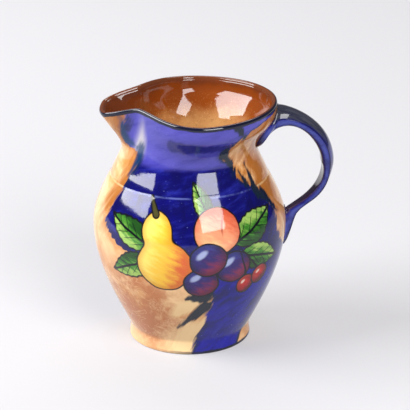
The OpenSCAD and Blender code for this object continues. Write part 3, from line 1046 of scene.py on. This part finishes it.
def inked(f, under, gap, fill, shade=INK):
    """A filled shape with an inked outline, shaded a little inside it."""
    colour = f.mix(covered(f, f.minus(gap, INK_W)), under, INK)
    fill = f.wash(fill, shade, f.step(gap, -4.5, 0.0), 0.5)
    return f.mix(covered(f, gap), colour, fill)


def flushed(f, seen, lean, stray, colours):
    """A brushed run of three colours across a fruit, by how much the tone leans on its x and y."""
    x, y, _ = f.split(seen)
    tone = f.scaled(y, lean[1], f.scaled(x, lean[0], stray))
    fill = f.mix(f.step(tone, -0.75, 0.1), colours[0], colours[1])
    return f.mix(f.step(tone, 0.05, 0.85), fill, colours[2])


def apricot(f, under, spot, stray):
    gap, seen = round_gap(f, spot, *APRICOT)
    fill = flushed(f, seen, (-0.3, -0.8), stray, APRICOT_RUN)
    x, y, _ = f.split(seen)
    bend = f.scaled(f.times(y, y), -0.32, f.minus(x, 0.18))
    crease = f.step(f.unsigned(bend), 0.07, 0.02)
    fill = f.wash(fill, APRICOT_CREASE, crease, f.step(y, -0.35, 0.1), 0.7)
    return inked(f, under, gap, fill, APRICOT_SHADE)


def pear(f, under, spot, stray):
    gap, seen = round_gap(f, spot, *PEAR)
    neck, _ = round_gap(f, spot, *PEAR_NECK)
    gap = f.math("SMOOTH_MIN", gap, neck, PEAR_BLEND)
    fill = flushed(f, seen, (-0.95, 0.18), stray, PEAR_RUN)
    colour = inked(f, under, gap, fill, PEAR_SHADE)
    return inked(f, colour, stroke_gap(f, spot, *PEAR_STALK), STALK_BROWN)


def shiny(f, under, spot, stray, fruit, lean, colours, shine, amount, pale):
    """A round fruit with a painted shine."""
    gap, seen = round_gap(f, spot, *fruit)
    fill = flushed(f, seen, lean, stray, colours)
    glint = f.step(f.length(f.local(seen, *shine)), 1.1, 0.5)
    return inked(f, under, gap, f.wash(fill, pale, glint, amount))


def orchard(f, under, spot, brush):
    """An apricot, a pear, plums and cherries, from back to front."""
    stray = f.scaled(brush, 1.4, -0.7)
    colour = apricot(f, under, spot, stray)
    colour = pear(f, colour, spot, stray)
    for fruit in PLUMS:
        colour = shiny(f, colour, spot, stray, fruit, *PLUM_LOOK)
    for stalk in CHERRY_STALKS:
        colour = f.mix(covered(f, stroke_gap(f, spot, *stalk)), colour, INK)
    for fruit in CHERRIES:
        colour = shiny(f, colour, spot, stray, fruit, *CHERRY_LOOK)
    return colour


def body_finish():
    f = Finish("Painted_body")
    place = f.place()
    x, y, v = f.split(place)
    angle = f.times(f.math("ARCTAN2", x, f.times(y, -1.0)), math.degrees(1))
    w = f.math("WRAP", angle, SEAM, -SEAM)
    colour = ground(f, place, f.join(w, v))

    mirrored = f.times(w, f.math("SIGN", y), -1.0)
    spot = f.shake(f.join(mirrored, v), place, *FRUIT_SHAKE)
    brush = f.bristles(spot, *FRUIT_BRUSH)
    for shape in LEAVES:
        colour = leaf(f, colour, spot, brush, *shape)
    colour = orchard(f, colour, spot, brush)

    below = f.mark("below_rim")
    stray = f.times(f.swing(place, *LINE_STRAY), 1.6)
    colour = f.mix(f.step(f.plus(below, stray), *RIM_LINE_MARKS), colour, RIM_BLACK_AND_FOOT_SHADE)
    colour = f.mix(f.step(below, *LIP_BROWN_MARKS), colour, RIM_BROWN)
    # Painted contact shade: a dark line along the bottom of the foot, fading out towards the spout and the
    # seam
    ends = f.times(f.step(w, *FOOT_SHADE_ANGLES), f.step(w, SEAM, SEAM - FADE))
    colour = f.wash(colour, RIM_BLACK_AND_FOOT_SHADE, f.step(f.plus(v, stray), *FOOT_SHADE_Z), ends)
    clay = f.mix(f.step(f.noise(place, *CLAY_CLOUD), 0.42, 0.74), CLAY, CLAY_STAIN)
    colour = f.mix(f.step(below, *BARE_CLAY_MARKS), colour, clay)
    return f.glaze(colour, place)


# Lining: dark at its edge and in the spout, and paler towards the bottom

LINING_EDGE = (0.12, 0.028, 0.009, 1)
# Washes from the edge down: distances below the rim over which each comes in, and its colour
LINING_WASHES = (
    ((0.0, 5.0), (0.19, 0.038, 0.005, 1)),
    ((5.0, 20.0), (0.22, 0.044, 0.003, 1)),
    ((14.0, 34.0), (0.88, 0.52, 0.2, 1)),
)
LINING_SPECK = (0.76, 0.44, 0.17, 1)
LINING_DARK = (0.2, 0.045, 0.008, 1)
LINING_SPOUT_DARK = (0.085, 0.02, 0.007, 1)
# Noise, as on the body
LINING_CLOUD = (0.05, 4.0, 0.6)
PALE_SPECKS = (1.3, 2.0)
DARK_SPECKS = (0.9, 2.0)
# Distances below the rim over which the pale specks and the darkening by the spout come in
SPECK_DEPTHS = (4.0, 25.0)
SPOUT_DARK_DEPTHS = (40.0, 15.0)
# Places along X, towards the spout, over which the lining darkens
SPOUT_DARK_PLACES = (-12.0, -42.0)


def lining_finish():
    f = Finish("Amber_lining")
    place = f.place()
    below = f.mark("below_rim")
    down = f.scaled(f.swing(place, *LINING_CLOUD), 14.0, below)
    colour = LINING_EDGE
    for depths, paint in LINING_WASHES:
        colour = f.mix(f.step(down, *depths), colour, paint)
    speck = f.step(f.noise(place, *PALE_SPECKS), 0.58, 0.72)
    colour = f.wash(colour, LINING_SPECK, speck, f.step(down, *SPECK_DEPTHS), 0.4)
    colour = f.wash(colour, LINING_DARK, f.step(f.noise(place, *DARK_SPECKS), 0.38, 0.28), 0.45)
    # Darker towards the spout, near the rim
    zone = f.step(f.split(place)[0], *SPOUT_DARK_PLACES)
    colour = f.wash(colour, LINING_SPOUT_DARK, zone, f.step(below, *SPOUT_DARK_DEPTHS), 0.65)
    return f.glaze(colour, place)


# Handle: streaked blue, with a dark outer face at the top, dark creases and a dark inner face, a painted
# highlight under the crease, a painted sheen on the outer face and painted shade at the root by the neck

HANDLE_DEEP = (0.007, 0.008, 0.11, 1)
HANDLE_BLUE = (0.018, 0.022, 0.23, 1)
HANDLE_STREAK = (0.05, 0.07, 0.38, 1)
# Pale blue of a painted highlight on the strap
HANDLE_HIGHLIGHT = (0.065, 0.095, 0.42, 1)
HANDLE_TOP_DEEP = (0.02, 0.021, 0.045, 1)
HANDLE_TOP_STREAK_AND_SHEEN = (0.052, 0.053, 0.074, 1)
HANDLE_INK = (0.006, 0.006, 0.03, 1)
HANDLE_INNER = (0.03, 0.012, 0.035, 1)
# Noise, as on the body, and how much of a streak there is in a millimetre along X, Y and Z
HANDLE_POOL = (0.1, 5.0, 0.62, 0.5)
STREAK_SCALE = (0.08, 0.5, 0.08)
# Places on the strap: faces are 0 at the creases, 1 on the outer crest and -1 on the inner face, and
# sides are 0 in the middle and 1 at the strap's edges
# Place on the side face, just under the crease, of a painted highlight
HIGHLIGHT_PLACE = -0.4
TOP_PLACES = (0.02, 0.2)
CREASE_START = (-0.16, -0.05)
CREASE_END = (0.1, 0.02)
INNER_PLACES = (-0.7, -0.9)
INNER_SIDES = (0.98, 0.8)
# Heights over which the dark outer face comes in, and places along X over which painted shade darkens the
# strap's root by the neck
DARK_TOP_Z = (114.0, 134.0)
ROOT_SHADE_PLACES = (47.0, 41.0)


def handle_finish():
    f = Finish("Blue_handle")
    place = f.place()
    x, _, z = f.split(place)
    face = f.mark("strap_face")
    side = f.unsigned(f.mark("strap_side"))
    zone = f.noise(place, *HANDLE_POOL)
    colour = f.mix(f.step(zone, 0.36, 0.64), HANDLE_DEEP, HANDLE_BLUE)
    streak = f.noise(f.vector("MULTIPLY", place, STREAK_SCALE), 1.0, 4.0, 0.6)
    colour = f.wash(colour, HANDLE_STREAK, f.step(streak, 0.52, 0.75), 0.55)
    # A painted highlight along the side face, just under the crease
    highlight = f.step(f.unsigned(f.minus(face, HIGHLIGHT_PLACE)), 0.3, 0.05)
    colour = f.wash(colour, HANDLE_HIGHLIGHT, highlight, f.step(zone, 0.34, 0.6), 0.5)

    top = f.step(f.scaled(f.minus(zone, 0.5), 0.5, face), *TOP_PLACES)
    # The dark outer face, streaked with grey that is partly brush marks and partly a painted sheen
    dark = f.mix(f.step(streak, 0.34, 0.66), HANDLE_TOP_DEEP, HANDLE_TOP_STREAK_AND_SHEEN)
    colour = f.wash(colour, dark, top, f.step(z, *DARK_TOP_Z))
    colour = f.wash(colour, HANDLE_INK, f.step(face, *CREASE_START), f.step(face, *CREASE_END), 0.8)
    # Painted shade where the strap's root meets the neck
    colour = f.wash(colour, HANDLE_INK, f.step(x, *ROOT_SHADE_PLACES), 0.8)
    colour = f.wash(colour, HANDLE_INNER, f.step(face, *INNER_PLACES), f.step(side, *INNER_SIDES), 0.9)
    return f.glaze(colour, place)


handle_paint = handle_finish()
dress(make_body(), "body", body_finish())
dress(make_lining(), "inner_glaze", lining_finish())
dress(make_handle(), "handle", handle_paint)
upper_lute = make_lute("Upper_handle_lute", 0, 1, False)
dress(upper_lute, "upper_handle_lute", handle_paint)
lower_lute = make_lute("Lower_handle_lute", LAST_STATION, -1, True)
dress(lower_lute, "lower_handle_lute", handle_paint)


# Stage: a pale table, soft panels and a camera at the photograph's angle

TABLE_R = 3000.0
TABLE_SIDES = 128
# The table lies this far under the foot, so that no faces meet
TABLE_DROP = 0.05
TABLE_PALE = (0.305, 0.301, 0.31, 1)
TABLE_ROUGHNESS = 0.9
TABLE_SHINE = 0.2
TABLE_GLOW = (0.98, 0.965, 1.0, 1)
TABLE_GLOW_STRENGTH = 0.37
# Name, place as azimuth, elevation and distance, size, watts, and the point that the panel faces
PANELS = (
    ("Left_panel", (-92.6, 33.8, 1878.0), (1750.0, 1020.0), 66.0, (-864.5, 558.7, 514.0)),
    ("Right_panel", (26.0, 36.0, 1600.0), (780.0, 1040.0), 28.0, (0.0, 0.0, 90.0)),
    ("Back_panel", (180.0, 55.0, 1600.0), (1400.0, 500.0), 11.0, (0.0, 700.0, 0.0)),
)
CAMERA_PLACE = (-39.0, -1116.7, 513.0)
CAMERA_TARGET = (9.47, 0.0, 82.94)
CAMERA_LENS = 172.5
CAMERA_SENSOR_W = 36.0
WORLD_COLOUR = (0.9, 0.92, 1.0, 1)
WORLD_STRENGTH = 0.1


def make_table():
    mesh = bpy.data.meshes.new("Table")
    rim = on_circle(turns(TABLE_SIDES), TABLE_R, -TABLE_DROP) * MM
    mesh.from_pydata(rim.tolist(), [], [tuple(range(TABLE_SIDES))])
    piece = bpy.data.objects.new("Table", mesh)
    bpy.context.scene.collection.objects.link(piece)
    f = Finish("Pale_table")
    ray = f.node("ShaderNodeLightPath", {}).outputs
    seen = f.most(ray["Is Camera Ray"], ray["Is Glossy Ray"])
    seen = f.most(seen, ray["Is Transmission Ray"])
    values = {
        "Base Color": TABLE_PALE,
        "Roughness": TABLE_ROUGHNESS,
        "Specular IOR Level": TABLE_SHINE,
        "Emission Color": TABLE_GLOW,
        "Emission Strength": f.times(seen, TABLE_GLOW_STRENGTH),
    }
    shader = f.node("ShaderNodeBsdfPrincipled", values)
    f.node("ShaderNodeOutputMaterial", {"Surface": shader.outputs[0]})
    mesh.materials.append(f.material)


def toward(azimuth, elevation, distance):
    """A place round the jug: azimuth 0 is in front of it, and positive turns to the handle's side."""
    a, e = math.radians(azimuth), math.radians(elevation)
    return Vector((math.sin(a) * math.cos(e), -math.cos(a) * math.cos(e), math.sin(e))) * distance * MM


def aim(thing, target):
    way = Vector(target) * MM - thing.location
    thing.rotation_euler = way.to_track_quat("-Z", "Y").to_euler()


def make_panel(name, place, size, power, target):
    lamp = bpy.data.lights.new(name, "AREA")
    lamp.shape = "RECTANGLE"
    lamp.size = size[0] * MM
    lamp.size_y = size[1] * MM
    lamp.energy = power
    thing = bpy.data.objects.new(name, lamp)
    thing.location = toward(*place)
    bpy.context.scene.collection.objects.link(thing)
    aim(thing, target)


def make_camera():
    lens = bpy.data.cameras.new("Camera")
    lens.lens = CAMERA_LENS
    lens.sensor_width = CAMERA_SENSOR_W
    thing = bpy.data.objects.new("Camera", lens)
    thing.location = Vector(CAMERA_PLACE) * MM
    bpy.context.scene.collection.objects.link(thing)
    aim(thing, CAMERA_TARGET)
    bpy.context.scene.camera = thing


def make_world():
    world = bpy.data.worlds.new("Studio")
    world.use_nodes = True
    background = world.node_tree.nodes["Background"].inputs
    background["Color"].default_value = WORLD_COLOUR
    background["Strength"].default_value = WORLD_STRENGTH
    bpy.context.scene.world = world


make_table()
for panel in PANELS:
    make_panel(*panel)
make_camera()
make_world()
bpy.context.scene.view_settings.view_transform = "Standard"
